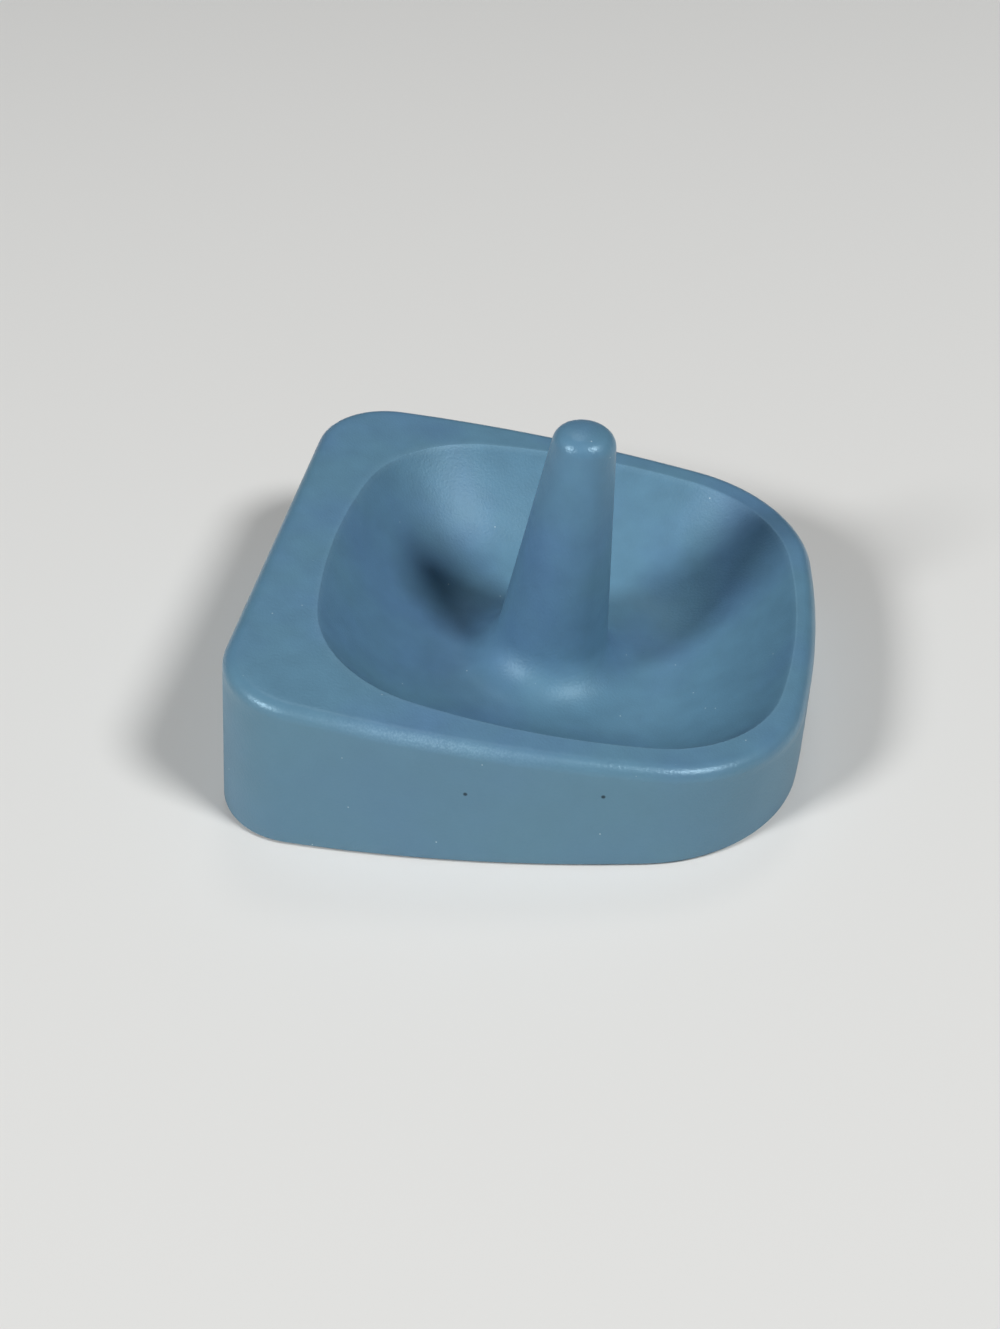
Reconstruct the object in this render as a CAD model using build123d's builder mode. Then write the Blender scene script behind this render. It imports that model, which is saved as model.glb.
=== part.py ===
from build123d import *
from math import atan2, cos, degrees, radians, sin, sqrt, tan
import os

# Ring dish: a wedge shaped block with a flat ledge at one end, a square bowl with bowed sides sunk in its
# sloping top, and a tapered post for rings that grows out of the bowl. It stands on four thin soft feet.
# Millimetres. The origin is the middle of the footprint, on the surface that the dish stands on.
# X runs from the ledge to the bowl end, Y to the back, Z up.

# Driving dimensions of the block
dish_length = 99.7
dish_width = 99.4
rim_height = 23.7
rim_slope = 8.25
wall_draft = 2.0
wall_lean = 4.5
end_bow_radius = 176.0
side_bow_radius = 252.0
side_bow_place = -15.1
bowl_end_corner = 28.2
ledge_corner = 15.6
rim_round = 2.5

# Driving dimensions of the bowl. The setbacks run from the ends and sides of the footprint to the lip.
ledge_setback = 13.45
end_setback = 2.45
side_setback = 7.8
bowl_depth = 17.0
side_bulge = 5.8
bowl_corner = 24.8
lip_bevel = 0.3

# Driving dimensions of the ring post. The tip's rounded edge has its centre at tip_flat from the axis, and
# floor_margin is the least width of the level floor round the sweep.
post_shift = 5.0
post_height = 31.95
post_taper = 6.5
tip_flat = 2.5
tip_round = 3.0
tip_crown = 12.0
post_root = 1.5
foot_sweep = 8.0
floor_margin = 1.0

# Driving dimensions of the soft feet
foot_diameter = 10.0
foot_thickness = 1.4
foot_stand = 0.4
foot_bevel = 0.3
socket_clearance = 0.15
ledge_foot_inset = 11.5
bowl_end_foot_inset = 15.5

os.makedirs("parts", exist_ok=True)

# The top of the block lies in a plane that falls towards the bowl end. The bowl and the post are both
# square to that plane, so each has its own copy of it with the origin on its axis.
bowl_length = dish_length - ledge_setback - end_setback
bowl_width = dish_width - 2 * side_setback
bowl_shift = (ledge_setback - end_setback) / 2
base_plane = Plane.XY.offset(foot_stand)
lean_plane = base_plane.rotated((0, wall_lean, 0))
rim_plane = base_plane.offset(rim_height).rotated((0, rim_slope, 0))
bowl_plane = Plane(rim_plane * Pos(bowl_shift, 0, 0))
post_plane = Plane(rim_plane * Pos(post_shift, 0, 0))
rim_axis = Axis(rim_plane.origin, rim_plane.z_dir)
post_side = Plane(post_plane.origin, x_dir=post_plane.x_dir, z_dir=(0, -1, 0))


def block_outline(rise):
    """Outline of the block across its leaning mould, drafted inwards with its rise above the base."""
    inset = rise * tan(radians(wall_draft))
    with BuildSketch(lean_plane.offset(rise)) as outline:
        with Locations((dish_length / 2 - end_bow_radius, 0)):
            Circle(end_bow_radius - inset)
        for side in (1, -1):
            with Locations((side_bow_place, side * (side_bow_radius - dish_width / 2))):
                Circle(side_bow_radius - inset, mode=Mode.INTERSECT)
        with Locations((inset - dish_length / 2, 0)):
            Rectangle(2 * dish_length, 2 * dish_width, align=(Align.MIN, Align.CENTER), mode=Mode.INTERSECT)
        fillet(outline.vertices().group_by(Axis.X)[-1], bowl_end_corner - inset)
        fillet(outline.vertices().group_by(Axis.X)[0], ledge_corner - inset)
    return outline.sketch


def bowl_section(size_share, depth):
    """Bowed square across the bowl, similar to the lip, at a depth below it."""
    corner_x = (bowl_length / 2 - side_bulge) * size_share
    corner_y = (bowl_width / 2 - side_bulge) * size_share
    corners = [(corner_x, -corner_y), (corner_x, corner_y), (-corner_x, corner_y), (-corner_x, -corner_y)]
    with BuildSketch(bowl_plane.offset(-depth)) as section:
        with BuildLine():
            for start, end in zip(corners, corners[1:] + corners[:1]):
                SagittaArc(start, end, -side_bulge * size_share)
        make_face()
        fillet(section.vertices(), bowl_corner * size_share)
    return section.sketch


# The block's mould leans, so its outline is square to neither the base nor the top. The block is drawn from
# below the one to above the other and cut off at both.
mould_drop = dish_length * tan(radians(wall_lean))
mould_rise = rim_height + dish_length * tan(radians(rim_slope))

# The post's top is a shallow crown with a rounded edge, tangent to its tapered side, and the sweep at its
# foot is tangent to that side and to the bowl's floor. Its root runs on below the floor, into the block.
# Heights here are along the post, from the plane of the rim.
taper = radians(post_taper)
crown_centre = post_height - tip_crown
tip_centre = crown_centre + sqrt((tip_crown - tip_round) ** 2 - tip_flat**2)
crown_turn = degrees(atan2(tip_centre - crown_centre, tip_flat))
shoulder = (tip_flat + tip_round * cos(taper), tip_centre + tip_round * sin(taper))
sweep_centre = foot_sweep - bowl_depth
sweep_reach = shoulder[0] + (shoulder[1] - sweep_centre) * tan(taper) + foot_sweep / cos(taper)
sweep_top = (sweep_reach - foot_sweep * cos(taper), sweep_centre - foot_sweep * sin(taper))
root_depth = bowl_depth + post_root

# The bowl falls from its lip in a parabola that runs out level where the sweep of the post begins.
section_count = 8
floor_share = (sweep_reach + floor_margin) / (bowl_length / 2)

# The feet sit in shallow round sockets in the corners of the base.
socket_depth = foot_thickness - foot_stand
foot_places = []
for row, side in (("front", -1), ("back", 1)):
    ledge_place = (ledge_foot_inset - dish_length / 2, side * (dish_width / 2 - ledge_foot_inset))
    bowl_place = (dish_length / 2 - bowl_end_foot_inset, side * (dish_width / 2 - bowl_end_foot_inset))
    foot_places.append((f"foot_ledge_{row}", ledge_place))
    foot_places.append((f"foot_bowl_{row}", bowl_place))

with BuildPart() as dish:
    loft([block_outline(-mould_drop), block_outline(mould_rise)], ruled=True)
    split(bisect_by=base_plane, keep=Keep.TOP)
    split(bisect_by=rim_plane, keep=Keep.BOTTOM)
    fillet(dish.faces().sort_by(rim_axis)[-1].edges(), rim_round)

    sections = []
    for step in range(section_count):
        fall_share = step / (section_count - 1)
        size_share = 1 - (1 - floor_share) * fall_share
        sections.append(bowl_section(size_share, bowl_depth * (1 - (1 - fall_share) ** 2)))
    loft(sections, mode=Mode.SUBTRACT)
    chamfer(dish.faces().sort_by(rim_axis)[-1].inner_wires()[0].edges(), lip_bevel)

    with BuildSketch(post_side):
        with BuildLine():
            root = Polyline((0, -root_depth), (sweep_reach, -root_depth), (sweep_reach, -bowl_depth))
            sweep = RadiusArc(root @ 1, sweep_top, foot_sweep)
            Line(sweep @ 1, shoulder)
            CenterArc((tip_flat, tip_centre), tip_round, post_taper, crown_turn - post_taper)
            crown = CenterArc((0, crown_centre), tip_crown, crown_turn, 90 - crown_turn)
            Line(crown @ 1, root @ 0)
        make_face()
    revolve(axis=Axis(post_plane.origin, post_plane.z_dir))

    for name, place in foot_places:
        with BuildSketch(base_plane):
            with Locations(place):
                Circle(foot_diameter / 2 + socket_clearance)
        extrude(amount=socket_depth, mode=Mode.SUBTRACT)
dish.part.label = "dish"
export_step(dish.part, "parts/dish.step")

for name, place in foot_places:
    with BuildPart() as foot:
        with BuildSketch():
            with Locations(place):
                Circle(foot_diameter / 2)
        extrude(amount=foot_thickness)
        chamfer(foot.edges().sort_by(Axis.Z)[0], foot_bevel)
    foot.part.label = name
    export_step(foot.part, f"parts/{name}.step")
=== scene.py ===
from math import atan2, cos, hypot, pi, radians, sin, sqrt, tan

import bpy
import numpy as np
from mathutils import Matrix, Vector


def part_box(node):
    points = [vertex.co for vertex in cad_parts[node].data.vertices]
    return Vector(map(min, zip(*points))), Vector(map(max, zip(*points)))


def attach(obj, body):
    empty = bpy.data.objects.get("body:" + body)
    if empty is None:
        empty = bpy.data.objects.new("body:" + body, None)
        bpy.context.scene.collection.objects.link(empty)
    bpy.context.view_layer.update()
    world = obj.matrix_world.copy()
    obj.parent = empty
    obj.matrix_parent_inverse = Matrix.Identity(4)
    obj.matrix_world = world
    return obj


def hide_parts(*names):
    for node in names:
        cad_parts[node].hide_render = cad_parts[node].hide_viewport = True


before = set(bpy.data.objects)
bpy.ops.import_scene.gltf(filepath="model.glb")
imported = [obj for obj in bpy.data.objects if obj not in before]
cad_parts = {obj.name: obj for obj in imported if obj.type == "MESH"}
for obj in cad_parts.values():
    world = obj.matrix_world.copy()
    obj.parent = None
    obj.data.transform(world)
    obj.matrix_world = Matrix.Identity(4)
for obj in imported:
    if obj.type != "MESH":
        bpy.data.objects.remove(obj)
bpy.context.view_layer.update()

# The block of the dish: poured resin, cast face down in a silicone mould that leans a little and is
# drafted. Its outline is a flat ledge end, two side bows and an end bow, with a round corner at each
# meeting, and its sloping top has a rounded rim that was rubbed down by hand. Sizes are in millimetres.
dish_length = 99.7
dish_width = 99.4
rim_height = 23.7
rim_slope = radians(8.25)
wall_draft = radians(2.0)
wall_lean = radians(4.5)
end_bow_radius = 176.0
side_bow_radius = 252.0
side_bow_place = -15.1
bowl_end_corner = 28.2
ledge_corner = 15.6
rim_round = 2.5
base_round = 0.5
foot_stand = 0.4

# Points of each stretch of the half outline, and steps of the rounds and of the wall between them. The
# first point stands a little off the middle line, so that it and its mirror image are two points.
end_points = 16
bowl_end_corner_points = 32
side_points = 40
ledge_corner_points = 24
ledge_points = 16
off_middle_share = 1 / 64
base_round_steps = 4
wall_steps = 12
rim_round_steps = 14


def arc(centre, radius, first, last, count):
    """Points of an arc in the plane of an outline, each with the outward normal there."""
    turn = np.linspace(first, last, count, endpoint=False)
    normal = np.column_stack((np.cos(turn), np.sin(turn)))
    return centre + radius * normal, normal


def whole_outline(arcs):
    """Points and normals of the arcs of a half outline at +Y, joined and mirrored to the other side."""
    points = np.vstack([points for points, normals in arcs])
    normals = np.vstack([normals for points, normals in arcs])
    flip = np.array((1, -1))
    return np.vstack((points, (points * flip)[::-1])), np.vstack((normals, (normals * flip)[::-1]))


def block_outline():
    """Outline of the block across its mould, at the base."""
    end_centre = np.array((dish_length / 2 - end_bow_radius, 0))
    side_centre = np.array((side_bow_place, dish_width / 2 - side_bow_radius))
    # The bowl end's corner is tangent inside both bows.
    between = side_centre - end_centre
    apart = hypot(*between)
    reach_end = end_bow_radius - bowl_end_corner
    reach_side = side_bow_radius - bowl_end_corner
    along = (reach_end**2 - reach_side**2 + apart**2) / (2 * apart)
    across = np.array((-between[1], between[0])) / apart
    corner_centre = end_centre + between * along / apart + across * sqrt(reach_end**2 - along**2)
    end_turn = atan2(*(corner_centre - end_centre)[::-1])
    side_turn = atan2(*(corner_centre - side_centre)[::-1])
    # The ledge's corner is tangent to the flat end and to the side bow.
    ledge_x = ledge_corner - dish_length / 2
    reach_ledge = side_bow_radius - ledge_corner
    ledge_y = side_centre[1] + sqrt(reach_ledge**2 - (ledge_x - side_centre[0]) ** 2)
    ledge_centre = np.array((ledge_x, ledge_y))
    ledge_turn = atan2(*(ledge_centre - side_centre)[::-1])
    flat_y = np.linspace(ledge_y, 0, ledge_points, endpoint=False)
    flat = np.column_stack((np.full_like(flat_y, -dish_length / 2), flat_y))
    return whole_outline([
        arc(end_centre, end_bow_radius, end_turn * off_middle_share, end_turn, end_points),
        arc(corner_centre, bowl_end_corner, end_turn, side_turn, bowl_end_corner_points),
        arc(side_centre, side_bow_radius, side_turn, ledge_turn, side_points),
        arc(ledge_centre, ledge_corner, ledge_turn, pi, ledge_corner_points),
        (flat, np.tile((-1.0, 0.0), (len(flat), 1))),
    ])


def unit(vectors):
    """The vectors at length one."""
    return vectors / np.linalg.norm(vectors, axis=1, keepdims=True)


def ring_tangent(ring):
    """Direction along a closed ring at each of its points."""
    return unit(np.roll(ring, -1, axis=0) - np.roll(ring, 1, axis=0))


def square_to(vectors, tangent):
    """The vectors turned square to the tangents, at length one."""
    return unit(vectors - np.sum(vectors * tangent, axis=1, keepdims=True) * tangent)


def rounded_edge(corners, first, second, radius, steps):
    """Rings of a round that is tangent to the two directions leaving each corner."""
    half_angle = np.arccos(np.sum(first * second, axis=1, keepdims=True)) / 2
    centres = corners + unit(first + second) * radius / np.sin(half_angle)
    start = corners + first * radius / np.tan(half_angle) - centres
    end = corners + second * radius / np.tan(half_angle) - centres
    sweep = pi - 2 * half_angle
    rings = []
    for share in np.linspace(0, 1, steps + 1):
        mix = (np.sin((1 - share) * sweep) * start + np.sin(share * sweep) * end) / np.sin(sweep)
        rings.append(centres + mix)
    return rings


def rings_between(first, last, steps):
    """Rings that step evenly from one ring to another, without the two themselves."""
    return [first + (last - first) * step / steps for step in range(1, steps)]


def meet_plane(points, directions, origin, normal):
    """Where lines through the points meet a plane."""
    reach = ((origin - points) @ normal) / (directions @ normal)
    return points + reach[:, None] * directions


across_y = np.array((0.0, 1.0, 0.0))
straight_up = np.array((0.0, 0.0, 1.0))
base_origin = np.array((0.0, 0.0, foot_stand))
rim_origin = np.array((0.0, 0.0, foot_stand + rim_height))
rim_normal = np.array((sin(rim_slope), 0.0, cos(rim_slope)))
rim_along = np.array((cos(rim_slope), 0.0, -sin(rim_slope)))
lean_normal = np.array((sin(wall_lean), 0.0, cos(wall_lean)))
lean_along = np.array((cos(wall_lean), 0.0, -sin(wall_lean)))

outline, outline_normal = block_outline()
around = len(outline)
mould_edge = base_origin + outline[:, :1] * lean_along + outline[:, 1:] * across_y
outward = outline_normal[:, :1] * lean_along + outline_normal[:, 1:] * across_y
ruling = lean_normal - tan(wall_draft) * outward
base_corner = meet_plane(mould_edge, ruling, base_origin, straight_up)
rim_corner = meet_plane(mould_edge, ruling, rim_origin, rim_normal)
base_tangent = ring_tangent(base_corner)
rim_tangent = ring_tangent(rim_corner)
base_inward = np.cross(straight_up, base_tangent)
rim_inward = np.cross(rim_normal, rim_tangent)
up_wall = square_to(ruling, base_tangent)
down_wall = square_to(-ruling, rim_tangent)
base_edge = rounded_edge(base_corner, base_inward, up_wall, base_round, base_round_steps)
rim_edge = rounded_edge(rim_corner, down_wall, rim_inward, rim_round, rim_round_steps)
wall_rings = rings_between(base_edge[-1], rim_edge[0], wall_steps)

# The bowl in the top of the same casting: a square with bowed sides and round corners, as wide as it is
# long, which falls from a crisp lip in a parabola and runs out level round the post. It is square to the
# sloping top.
ledge_setback = 13.45
end_setback = 2.45
bowl_depth = 17.0
side_bulge = 5.8
bowl_corner = 24.8
lip_round = 0.35
floor_margin = 1.0
lip_round_steps = 4
bowl_steps = 32
top_steps = 10
floor_steps = 4
bowl_length = dish_length - ledge_setback - end_setback
bowl_centre = np.array(((ledge_setback - end_setback) / 2, 0.0))


def on_rim(points, drop):
    """Points given in the rim's plane, at a drop below it, as places in the dish's frame."""
    return rim_origin + points[:, :1] * rim_along + points[:, 1:] * across_y - drop * rim_normal


def bowl_outline():
    """Outline of the lip round the bowl's centre: four shallow arcs with round corners between."""
    half = bowl_length / 2
    corner = half - side_bulge
    side_radius = (corner**2 + side_bulge**2) / (2 * side_bulge)
    side_centre = half - side_radius
    # The corner's centre lies on the diagonal, tangent inside both sides.
    reach = side_radius - bowl_corner
    diagonal = (side_centre + sqrt(2 * reach**2 - side_centre**2)) / 2
    turn = atan2(diagonal, diagonal - side_centre)
    # A third of a quarter's points lie on the half side before the corner, and a third on the one after.
    # Here too the first point stands a little off the middle line.
    count = around // 4
    side_count = count // 3
    arcs = []
    for quarter in range(2):
        middle = quarter * pi / 2
        corner_centre = np.array(((1, 1), (-1, 1))[quarter]) * diagonal
        first_centre = side_centre * np.array((cos(middle), sin(middle)))
        second_centre = side_centre * np.array((cos(middle + pi / 2), sin(middle + pi / 2)))
        first = middle + (turn / (2 * side_count) if quarter == 0 else 0)
        last = middle + pi / 2 - turn
        arcs.append(arc(first_centre, side_radius, first, middle + turn, side_count))
        arcs.append(arc(corner_centre, bowl_corner, middle + turn, last, count - 2 * side_count))
        arcs.append(arc(second_centre, side_radius, last, middle + pi / 2, side_count))
    return whole_outline(arcs)


# The post of the same casting, on which rings are hung: a tapered round post that leans with the top,
# grows out of the bowl's floor in one sweep and ends in a shallow crown with a rounded edge.
post_shift = 5.0
post_height = 31.95
post_taper = radians(6.5)
tip_flat = 2.5
tip_round = 3.0
tip_crown = 12.0
foot_sweep = 8.0
sweep_points = 21
taper_points = 25
tip_points = 15
crown_points = 7
post_centre = np.array((post_shift, 0.0))

# The post's half section, as distances from its axis and heights over the plane of the rim.
crown_centre = post_height - tip_crown
tip_centre = crown_centre + sqrt((tip_crown - tip_round) ** 2 - tip_flat**2)
crown_turn = atan2(tip_centre - crown_centre, tip_flat)
side_normal = np.array((cos(post_taper), sin(post_taper)))
shoulder = np.array((tip_flat, tip_centre)) + tip_round * side_normal
sweep_centre = foot_sweep - bowl_depth
sweep_reach = shoulder[0] + (shoulder[1] - sweep_centre) * tan(post_taper) + foot_sweep / cos(post_taper)
sweep_top = np.array((sweep_reach, sweep_centre)) - foot_sweep * side_normal
profile = [
    (sweep_reach - foot_sweep * sin(turn), sweep_centre - foot_sweep * cos(turn))
    for turn in np.linspace(0, pi / 2 - post_taper, sweep_points)
]
profile += [
    sweep_top + (shoulder - sweep_top) * share
    for share in np.linspace(0, 1, taper_points)[1:-1]
]
profile += [
    (tip_flat + tip_round * cos(turn), tip_centre + tip_round * sin(turn))
    for turn in np.linspace(post_taper, crown_turn, tip_points)
]
profile += [
    (tip_crown * cos(turn), crown_centre + tip_crown * sin(turn))
    for turn in np.linspace(crown_turn, pi / 2, crown_points)[1:-1]
]

# The bowl's rings shrink evenly from the lip to the floor, where the post's sweep takes over.
lip, lip_normal = bowl_outline()
lip_corner = on_rim(bowl_centre + lip, 0)
lip_away = lip_normal[:, :1] * rim_along + lip_normal[:, 1:] * across_y
floor_share = (sweep_reach + floor_margin) / (bowl_length / 2)
inwards = -(lip[:, :1] * rim_along + lip[:, 1:] * across_y) * (1 - floor_share)
lip_fall = square_to(inwards - 2 * bowl_depth * rim_normal, ring_tangent(lip_corner))
lip_edge = rounded_edge(lip_corner, lip_away, lip_fall, lip_round, lip_round_steps)
bowl_rings = []
for fall_share in np.linspace(0, 1, bowl_steps + 1)[1:]:
    size_share = 1 - (1 - floor_share) * fall_share
    bowl_rings.append(on_rim(bowl_centre + lip * size_share, bowl_depth * (1 - (1 - fall_share) ** 2)))
post_rings = [on_rim(post_centre + radius * unit(lip), -height) for radius, height in profile]
tip = on_rim(post_centre[None, :], -post_height)[0]

# The casting is one skin through all the rings, from the middle of the base over the rim and down the
# bowl to the tip of the post. Code makes it, because its rounds keep one radius all the way round a
# leaning, drafted wall that meets a sloping top, which Geometry Nodes have no node for. Blender works in
# metres.
mm = 0.001


def mesh_of_rings(name, rings, first_pole, last_pole):
    """A closed mesh through rings of equally many points, with a pole at each end."""
    count = len(rings[0])
    faces = []
    for here in range(0, (len(rings) - 1) * count, count):
        above = here + count
        for point in range(count):
            beside = (point + 1) % count
            faces.append((here + point, here + beside, above + beside, above + point))
    last = (len(rings) - 1) * count
    pole = len(rings) * count
    for point in range(count):
        beside = (point + 1) % count
        faces.append((beside, point, pole))
        faces.append((last + point, last + beside, pole + 1))
    mesh = bpy.data.meshes.new(name)
    mesh.from_pydata((np.vstack(rings + [[first_pole], [last_pole]]) * mm).tolist(), [], faces)
    mesh.shade_smooth()
    return mesh


rings = base_edge + wall_rings + rim_edge
rim_rings = range(len(rings) - len(rim_edge), len(rings))
rings += rings_between(rim_edge[-1], lip_edge[0], top_steps)
lip_rings = range(len(rings), len(rings) + len(lip_edge))
rings += lip_edge + bowl_rings + rings_between(bowl_rings[-1], post_rings[0], floor_steps) + post_rings
casting_mesh = mesh_of_rings("casting", rings, base_origin, tip)

# The rim's round and the tip of the post are smooth from handling, but one stretch of the rim at the
# front was rubbed matt, and it is also painted paler there as a painted sheen. The lip of the bowl is left
# sharp and is painted a little paler as a painted highlight on its small round, and the walls are painted
# greyer than the top as painted light from the bounce off the table. Each of these is a share at every
# point of the casting. The rubbed stretch is measured along X, and the handled part of the post by its
# height over the rim.
rubbed_middle = -10.0
rubbed_reach = 15.0
handled_from = 22.0
handled_full = 28.0
# The lip's share paints it paler, a painted highlight on its small round.
lip_glint_share = 0.3
rim_shares = np.zeros(len(rings))
rim_shares[rim_rings.start:rim_rings.stop] = 1
# The ridge shares peak in the middle of the rim's round, where the painted sheen of the rubbed stretch is
# brightest.
sheen_ridge_shares = np.zeros(len(rings))
sheen_ridge_shares[rim_rings.start:rim_rings.stop] = np.sin(np.linspace(0, pi, len(rim_edge))) ** 2
# The wall shares say where the walls are painted greyer, a painted light for the bounce from the table.
wall_shares = np.zeros(len(rings))
wall_shares[:rim_rings.start] = 1
wall_shares[rim_rings.start:rim_rings.stop] = np.linspace(1, 0, len(rim_edge))
lip_shares = np.zeros(len(rings))
lip_shares[lip_rings.start:lip_rings.stop] = lip_glint_share
tip_shares = np.zeros(len(rings))
post_heights = np.array([height for radius, height in profile])
tip_shares[-len(profile):] = np.clip((post_heights - handled_from) / (handled_full - handled_from), 0, 1)


def on_points(ring_shares):
    """One share for each point of the casting, from one for each ring, and for the two poles."""
    return np.append(np.repeat(ring_shares, around), (0.0, ring_shares[-1]))


def mark(mesh, name, shares):
    """Gives the mesh a share for each of its points, for the material to read."""
    mesh.attributes.new(name, "FLOAT", "POINT").data.foreach_set("value", shares)


casting_points = np.vstack(rings + [[base_origin], [tip]])
# The rubbed stretch is matt from real wear and also carries a painted sheen.
away_shares = (casting_points[:, 0] - rubbed_middle) / rubbed_reach
rubbed_and_sheen_shares = np.exp(-away_shares**2) * (casting_points[:, 1] < 0) * on_points(sheen_ridge_shares)
mark(casting_mesh, "handled", on_points(rim_shares + tip_shares))
mark(casting_mesh, "lip", on_points(lip_shares))
mark(casting_mesh, "rubbed_and_sheen", rubbed_and_sheen_shares)
mark(casting_mesh, "wall", on_points(wall_shares))

# Four shallow round sockets in the base of the casting, formed by low discs that lie on the resin as it
# sets. The soft feet are stuck in them, so they reach as high as the feet do and are a little wider.
socket_clearance = 0.15
round_points = 64
foot_names = ("foot_ledge_front", "foot_ledge_back", "foot_bowl_front", "foot_bowl_back")
casting = bpy.data.objects.new("casting", casting_mesh)
bpy.context.scene.collection.objects.link(casting)
for foot_name in foot_names:
    low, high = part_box(foot_name)
    bpy.ops.mesh.primitive_cylinder_add(
        vertices=round_points, radius=(high[0] - low[0]) / 2 + socket_clearance * mm, depth=2 * high[2],
        location=((low[0] + high[0]) / 2, (low[1] + high[1]) / 2, 0))
    cutter = bpy.context.object
    cut = casting.modifiers.new(foot_name, "BOOLEAN")
    cut.operation = "DIFFERENCE"
    cut.solver = "EXACT"
    cut.object = cutter
    cutter.hide_render = True


def settled(thing, name):
    """A plain object with the mesh that thing has once its modifiers are applied."""
    mesh = bpy.data.meshes.new_from_object(thing.evaluated_get(bpy.context.evaluated_depsgraph_get()))
    mesh.name = name
    made = bpy.data.objects.new(name, mesh)
    bpy.context.scene.collection.objects.link(made)
    return made


sharp_edge = radians(40)
dish = settled(casting, "dish_casting")
dish.data.set_sharp_from_angle(angle=sharp_edge)
for cut in casting.modifiers:
    bpy.data.objects.remove(cut.object)
bpy.data.objects.remove(casting)


def linear(hex_colour):
    """An sRGB hex colour as linear red, green, blue and alpha, by the curve of the sRGB standard."""
    shares = [int(hex_colour[digit:digit + 2], 16) / 255 for digit in (1, 3, 5)]
    curve = [share / 12.92 if share <= 0.04045 else ((share + 0.055) / 1.055) ** 2.4 for share in shares]
    return (*curve, 1.0)


def add_node(tree, kind, inputs=None, **settings):
    """Adds a node. settings are its attributes. inputs maps a socket to a value, a socket or a node."""
    made = tree.nodes.new(kind)
    for name, value in settings.items():
        setattr(made, name, value)
    for name, value in (inputs or {}).items():
        socket = next(end for end in made.inputs if end.enabled and name in (end.name, end.identifier))
        if isinstance(value, bpy.types.Node):
            value = next(end for end in value.outputs if end.enabled)
        if isinstance(value, bpy.types.NodeSocket):
            tree.links.new(value, socket)
        else:
            socket.default_value = value
    return made


def per_metre(size):
    """Scale of a pattern whose cells are size millimetres across."""
    return 1 / (size * mm)


# Cast resin, filled with mineral powder and pigmented through, as it leaves a silicone mould: satin, with
# soft clouds in the pigment, a fine tooth, a few open air holes, pale dust and a rim smooth from handling.
resin = bpy.data.materials.new("cast_resin_satin")
resin.use_nodes = True
tree = resin.node_tree
tree.nodes.clear()
object_place = add_node(tree, "ShaderNodeTexCoord").outputs["Object"]


def spots(spacing, radius, kept_share):
    """A share that is one inside round spots at scattered places and zero elsewhere. Some are left out."""
    edge_share = radius / spacing
    cells = add_node(tree, "ShaderNodeTexVoronoi", {"Vector": object_place, "Scale": per_metre(spacing)})
    spot = add_node(tree, "ShaderNodeMapRange", {
        "Value": cells.outputs["Distance"], "From Min": edge_share, "From Max": edge_share / 2})
    kind = add_node(tree, "ShaderNodeSeparateColor", {"Color": cells.outputs["Color"]})
    kept = add_node(tree, "ShaderNodeMath", {
        "Value": kind, "Value_001": kept_share}, operation="LESS_THAN")
    return add_node(tree, "ShaderNodeMath", {"Value": spot, "Value_001": kept}, operation="MULTIPLY")


def marked(name):
    """The share that the mesh's points carry under a name."""
    return add_node(tree, "ShaderNodeAttribute", attribute_name=name).outputs["Fac"]


# The pigment drifts between two blues over a few centimetres and is mottled a little within them.
violet_blue = "#577c9e"
teal_blue = "#5a829a"
cloud_size = 24.0
cloud_detail = 3.0
least_cloud_share = 0.3
most_cloud_share = 0.6
mottle_size = 5.0
mottle_detail = 6.0
least_mottle_share = 0.3
most_mottle_share = 0.7
darkest_share = 0.94
lightest_share = 1.06
clouds = add_node(tree, "ShaderNodeTexNoise", {
    "Vector": object_place, "Scale": per_metre(cloud_size), "Detail": cloud_detail})
drift = add_node(tree, "ShaderNodeMapRange", {
    "Value": clouds, "From Min": least_cloud_share, "From Max": most_cloud_share})
pigment = add_node(tree, "ShaderNodeMix", {
    "Factor": drift, "A": linear(violet_blue), "B": linear(teal_blue)}, data_type="RGBA")
mottle = add_node(tree, "ShaderNodeTexNoise", {
    "Vector": object_place, "Scale": per_metre(mottle_size), "Detail": mottle_detail})
shade = add_node(tree, "ShaderNodeMapRange", {
    "Value": mottle, "From Min": least_mottle_share, "From Max": most_mottle_share,
    "To Min": darkest_share, "To Max": lightest_share})
mottled = add_node(tree, "ShaderNodeHueSaturation", {"Color": pigment, "Value": shade})

# The walls are painted a little greyer than the top: painted light, standing in for the neutral light
# that the pale table throws back onto them.
painted_bounce_grey = "#5a7c8d"
painted_bounce_share = 0.65
painted_bounce_shares = add_node(tree, "ShaderNodeMapRange", {"Value": marked("wall"), "To Max": painted_bounce_share})
bounce_painted = add_node(tree, "ShaderNodeMix", {
    "Factor": painted_bounce_shares, "A": mottled, "B": linear(painted_bounce_grey)}, data_type="RGBA")

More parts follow.
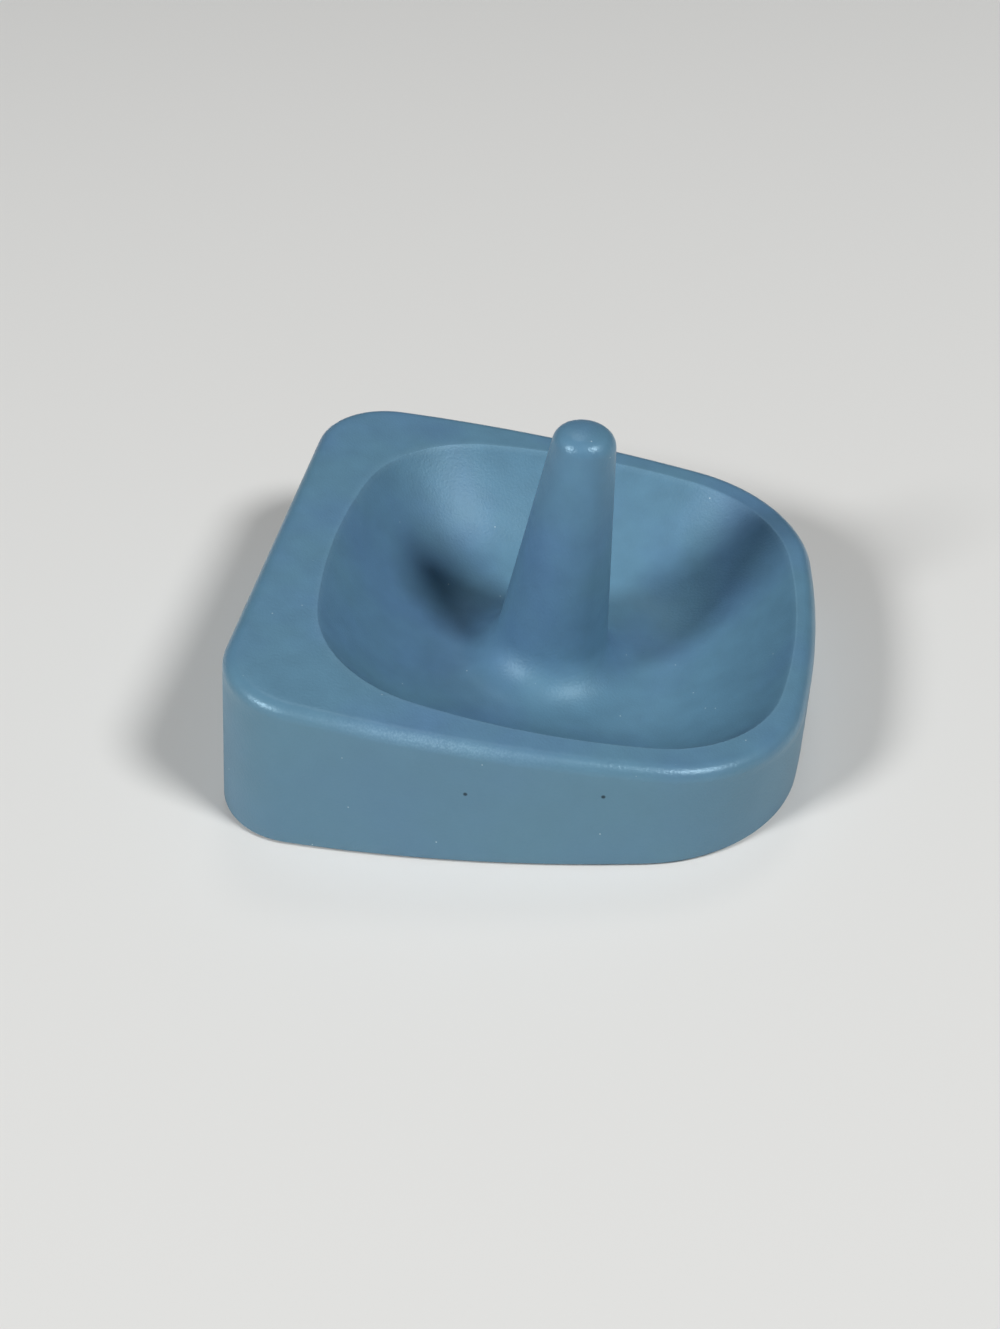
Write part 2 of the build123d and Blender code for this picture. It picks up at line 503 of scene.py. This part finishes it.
# Pale chalky scuffs are painted faintly along the lip and in the rubbed stretch of the rim. They are
# painted highlights: along the lip the glint on its small round, and in the rubbed stretch, which is
# really worn matt, the broken sheen on the worn round.
chalk_and_sheen_blue = "#8db2c8"
scuff_size = 0.35
scuff_detail = 3.0
least_scuff_share = 0.4
most_scuff_share = 0.75
thin_chalk_and_sheen_share = 0.15
thick_chalk_and_sheen_share = 0.6
scuff = add_node(tree, "ShaderNodeTexNoise", {
    "Vector": object_place, "Scale": per_metre(scuff_size), "Detail": scuff_detail})
scuff_and_sheen_shares = add_node(tree, "ShaderNodeMapRange", {
    "Value": scuff, "From Min": least_scuff_share, "From Max": most_scuff_share,
    "To Min": thin_chalk_and_sheen_share, "To Max": thick_chalk_and_sheen_share})
worn_and_glinting = add_node(tree, "ShaderNodeMath", {
    "Value": marked("rubbed_and_sheen"), "Value_001": marked("lip")}, operation="MAXIMUM")
chalk_and_sheen = add_node(tree, "ShaderNodeMath", {"Value": scuff_and_sheen_shares, "Value_001": worn_and_glinting}, operation="MULTIPLY")
scuffed_and_sheened = add_node(tree, "ShaderNodeMix", {
    "Factor": chalk_and_sheen, "A": bounce_painted, "B": linear(chalk_and_sheen_blue)}, data_type="RGBA")

# Pale dust lies all over, and a few air holes are open. The two plainest ones are in the front wall.
# The holes are painted dark: painted shade, for the shade inside them.
dust_grey = "#adc1cb"
dust_spacing = 3.2
dust_radius = 0.16
dust_kept_share = 0.6
hole_shade_blue = "#1c2c38"
hole_spacing = 9.0
hole_radius = 0.22
hole_kept_share = 0.5
hole_places = ((-4.3, -49.0, 15.1), (17.8, -47.1, 15.3))
dust = spots(dust_spacing, dust_radius, dust_kept_share)
dusty = add_node(tree, "ShaderNodeMix", {
    "Factor": dust, "A": scuffed_and_sheened, "B": linear(dust_grey)}, data_type="RGBA")
holes = spots(hole_spacing, hole_radius, hole_kept_share)
for hole_place in hole_places:
    away = add_node(tree, "ShaderNodeVectorMath", {
        "Vector": object_place, "Vector_001": Vector(hole_place) * mm}, operation="DISTANCE")
    hole = add_node(tree, "ShaderNodeMapRange", {
        "Value": away.outputs["Value"], "From Min": 2 * hole_radius * mm, "From Max": hole_radius * mm})
    holes = add_node(tree, "ShaderNodeMath", {"Value": holes, "Value_001": hole}, operation="MAXIMUM")
colour = add_node(tree, "ShaderNodeMix", {
    "Factor": holes, "A": dusty, "B": linear(hole_shade_blue)}, data_type="RGBA")

# The tooth is the mould's own grain, drawn at about twice its size so that it shows in the render.
tooth_size = 0.5
tooth_depth = 0.13
tooth_detail = 4.0
tooth_strength = 0.5
tooth = add_node(tree, "ShaderNodeTexNoise", {
    "Vector": object_place, "Scale": per_metre(tooth_size), "Detail": tooth_detail})
tooth_bump = add_node(tree, "ShaderNodeBump", {
    "Height": tooth, "Strength": tooth_strength, "Distance": tooth_depth * mm})

# The resin is satin, glossier on the rim and the tip from handling, and matt in the rubbed stretch.
gloss_blue = "#cbedff"
satin_roughness = 0.46
handled_roughness = 0.33
rubbed_roughness = 0.48
resin_ior = 1.55
handled_gloss = add_node(tree, "ShaderNodeMapRange", {
    "Value": marked("handled"), "To Min": satin_roughness, "To Max": handled_roughness})
rubbed_gloss = add_node(tree, "ShaderNodeMapRange", {
    "Value": marked("rubbed_and_sheen"), "To Max": rubbed_roughness - handled_roughness})
roughness = add_node(tree, "ShaderNodeMath", {
    "Value": handled_gloss, "Value_001": rubbed_gloss}, operation="ADD")
skin = add_node(tree, "ShaderNodeBsdfPrincipled", {
    "Base Color": colour, "Roughness": roughness, "IOR": resin_ior,
    "Specular Tint": linear(gloss_blue), "Normal": tooth_bump})
add_node(tree, "ShaderNodeOutputMaterial", {"Surface": skin})
dish.data.materials.append(resin)
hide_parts("dish")
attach(dish, "root")

# Four thin soft feet that keep the dish from sliding: discs of silicone rubber, cut from sheet with a
# round punch and stuck in the sockets. They stand a little proud of the base, where they hardly show.
foot_bevel = 0.3
bevel_steps = 3
feather_grey = "#a6abad"
pale_grey = "#b4b9bb"
powder_size = 1.5
powder_detail = 4.0
sheet_tooth_size = 0.3
sheet_tooth_depth = 0.02
sheet_tooth_strength = 0.5
smoothest_roughness = 0.6
mattest_roughness = 0.8
silicone_ior = 1.41

silicone = bpy.data.materials.new("silicone_rubber_sheet")
silicone.use_nodes = True
tree = silicone.node_tree
tree.nodes.clear()
# Silicone sheet is matt from its rollers and picks up powder, so it has a fine tooth and uneven grey.
object_place = add_node(tree, "ShaderNodeTexCoord").outputs["Object"]
powder = add_node(tree, "ShaderNodeTexNoise", {
    "Vector": object_place, "Scale": per_metre(powder_size), "Detail": powder_detail})
grey = add_node(tree, "ShaderNodeMix", {
    "Factor": powder, "A": linear(feather_grey), "B": linear(pale_grey)}, data_type="RGBA")
matt = add_node(tree, "ShaderNodeMapRange", {
    "Value": powder, "To Min": smoothest_roughness, "To Max": mattest_roughness})
sheet_tooth = add_node(tree, "ShaderNodeTexNoise", {
    "Vector": object_place, "Scale": per_metre(sheet_tooth_size)})
sheet_bump = add_node(tree, "ShaderNodeBump", {
    "Height": sheet_tooth, "Strength": sheet_tooth_strength, "Distance": sheet_tooth_depth * mm})
rubber = add_node(tree, "ShaderNodeBsdfPrincipled", {
    "Base Color": grey, "Roughness": matt, "IOR": silicone_ior, "Normal": sheet_bump})
add_node(tree, "ShaderNodeOutputMaterial", {"Surface": rubber})

# The feet stand where the solids have them. One disc is made and repeated at the four places.
foot_boxes = [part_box(foot_name) for foot_name in foot_names]
foot_middles = [[(first + last) / 2 for first, last in zip(low, high)] for low, high in foot_boxes]
foot_size = [last - first for first, last in zip(*foot_boxes[0])]
tree = bpy.data.node_groups.new("punched_feet", "GeometryNodeTree")
tree.interface.new_socket("Places", in_out="INPUT", socket_type="NodeSocketGeometry")
tree.interface.new_socket("Diameter", in_out="INPUT", socket_type="NodeSocketFloat")
tree.interface.new_socket("Thickness", in_out="INPUT", socket_type="NodeSocketFloat")
tree.interface.new_socket("Feet", in_out="OUTPUT", socket_type="NodeSocketGeometry")
given = add_node(tree, "NodeGroupInput").outputs
radius = add_node(tree, "ShaderNodeMath", {
    "Value": given["Diameter"], "Value_001": 2.0}, operation="DIVIDE")
disc = add_node(tree, "GeometryNodeMeshCylinder", {
    "Vertices": round_points, "Radius": radius, "Depth": given["Thickness"]})
placed = add_node(tree, "GeometryNodeInstanceOnPoints", {"Points": given["Places"], "Instance": disc})
whole = add_node(tree, "GeometryNodeRealizeInstances", {"Geometry": placed})
finished = add_node(tree, "GeometryNodeSetMaterial", {"Geometry": whole, "Material": silicone})
add_node(tree, "NodeGroupOutput", {"Feet": finished})

place_mesh = bpy.data.meshes.new("foot_places")
place_mesh.from_pydata(foot_middles, [], [])
foot_maker = bpy.data.objects.new("foot_places", place_mesh)
bpy.context.scene.collection.objects.link(foot_maker)
punch = foot_maker.modifiers.new("punch", "NODES")
punch.node_group = tree
sizes = {"Diameter": foot_size[0], "Thickness": foot_size[2]}
for item in tree.interface.items_tree:
    if item.name in sizes:
        punch[item.identifier] = sizes[item.name]
soft_edge = foot_maker.modifiers.new("soft_edge", "BEVEL")
soft_edge.width = foot_bevel * mm
soft_edge.segments = bevel_steps
soft_edge.limit_method = "ANGLE"
feet = settled(foot_maker, "silicone_feet")
bpy.data.objects.remove(foot_maker)
feet.data.shade_smooth()
feet.data.set_sharp_from_angle(angle=sharp_edge)
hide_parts(*foot_names)
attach(feet, "root")

# The stage: a plain pale table top, with a wall of pale paper far round it. The paper is only there for
# views from low down: it gives the dish neither light nor reflections. Sizes are in metres.
half_floor = 1.5
wall_height = 1.5
wall_panels = 96
wall_glow = 0.62
table_grey = "#dededc"
paint_roughness = 0.9
floor_corners = [(half_floor * x, half_floor * y, 0) for x, y in ((-1, -1), (1, -1), (1, 1), (-1, 1))]
floor_mesh = bpy.data.meshes.new("table_top")
floor_mesh.from_pydata(floor_corners, [], [(0, 1, 2, 3)])
table_top = bpy.data.objects.new("table_top", floor_mesh)
bpy.context.scene.collection.objects.link(table_top)
paint = bpy.data.materials.new("pale_matt_paint")
paint.use_nodes = True
paint_inputs = paint.node_tree.nodes["Principled BSDF"].inputs
paint_inputs["Base Color"].default_value = linear(table_grey)
paint_inputs["Roughness"].default_value = paint_roughness
floor_mesh.materials.append(paint)

wall_turns = np.linspace(0, 2 * pi, wall_panels, endpoint=False)
wall_points = [
    (half_floor * cos(turn), half_floor * sin(turn), height)
    for height in (0, wall_height) for turn in wall_turns
]
wall_faces = []
for panel in range(wall_panels):
    beside = (panel + 1) % wall_panels
    wall_faces.append((panel, panel + wall_panels, beside + wall_panels, beside))
wall_mesh = bpy.data.meshes.new("paper_wall")
wall_mesh.from_pydata(wall_points, [], wall_faces)
paper = bpy.data.materials.new("pale_paper")
paper.use_nodes = True
paper_inputs = paper.node_tree.nodes["Principled BSDF"].inputs
paper_inputs["Base Color"].default_value = linear("#000000")
paper_inputs["Emission Color"].default_value = linear("#ffffff")
paper_inputs["Emission Strength"].default_value = wall_glow
wall_mesh.materials.append(paper)
paper_wall = bpy.data.objects.new("paper_wall", wall_mesh)
paper_wall.visible_diffuse = False
paper_wall.visible_glossy = False
paper_wall.visible_shadow = False
bpy.context.scene.collection.objects.link(paper_wall)

# The light: two soft round lamps in front of the dish, one from each side, a weak one behind it and a
# faint even sky. Distances are in metres and powers in watts. Azimuths turn from +X towards +Y.
lamp_distance = 2.4
lamp_size = 0.6
front_power = 39.5
behind_power = 4.0
sky_strength = 0.02
lamps = (
    ("lamp_left", radians(-136), radians(34), front_power),
    ("lamp_right", radians(-27), radians(48), front_power),
    ("lamp_behind", radians(95), radians(60), behind_power),
)
for name, azimuth, elevation, power in lamps:
    lamp = bpy.data.lights.new(name, "AREA")
    lamp.shape = "DISK"
    lamp.size = lamp_size
    lamp.energy = power
    direction = Vector((cos(azimuth) * cos(elevation), sin(azimuth) * cos(elevation), sin(elevation)))
    lamp_object = bpy.data.objects.new(name, lamp)
    lamp_object.location = direction * lamp_distance
    lamp_object.rotation_euler = direction.to_track_quat("Z", "Y").to_euler()
    lamp_object.visible_camera = False
    bpy.context.scene.collection.objects.link(lamp_object)
sky = bpy.data.worlds.new("even_sky")
sky.use_nodes = True
sky_inputs = sky.node_tree.nodes["Background"].inputs
sky_inputs["Color"].default_value = linear("#ffffff")
sky_inputs["Strength"].default_value = sky_strength
bpy.context.scene.world = sky
bpy.context.scene.view_settings.view_transform = "Standard"

# The camera stands where the photograph was taken from: in front of the dish, a little to its right and
# about 0.2 m up. Its place, direction, roll and lens were fitted to the outlines of the dish.
camera_azimuth = radians(10.164)
camera_elevation = radians(37.947)
camera_roll = radians(-2.039)
camera_place = Vector((40.007, -260.244, 209.531)) * mm
camera_lens = 48.781
camera_sensor = 36.0
back = Vector((
    sin(camera_azimuth) * cos(camera_elevation),
    -cos(camera_azimuth) * cos(camera_elevation),
    sin(camera_elevation)))
level_right = (-back).cross(Vector((0, 0, 1))).normalized()
level_up = level_right.cross(-back)
right = level_right * cos(camera_roll) + level_up * sin(camera_roll)
up = level_up * cos(camera_roll) - level_right * sin(camera_roll)
camera_data = bpy.data.cameras.new("camera")
camera_data.lens = camera_lens
camera_data.sensor_width = camera_sensor
camera = bpy.data.objects.new("camera", camera_data)
camera_turn = Matrix((right, up, back)).transposed().to_4x4()
camera.matrix_world = Matrix.Translation(camera_place) @ camera_turn
bpy.context.scene.collection.objects.link(camera)
bpy.context.scene.camera = camera
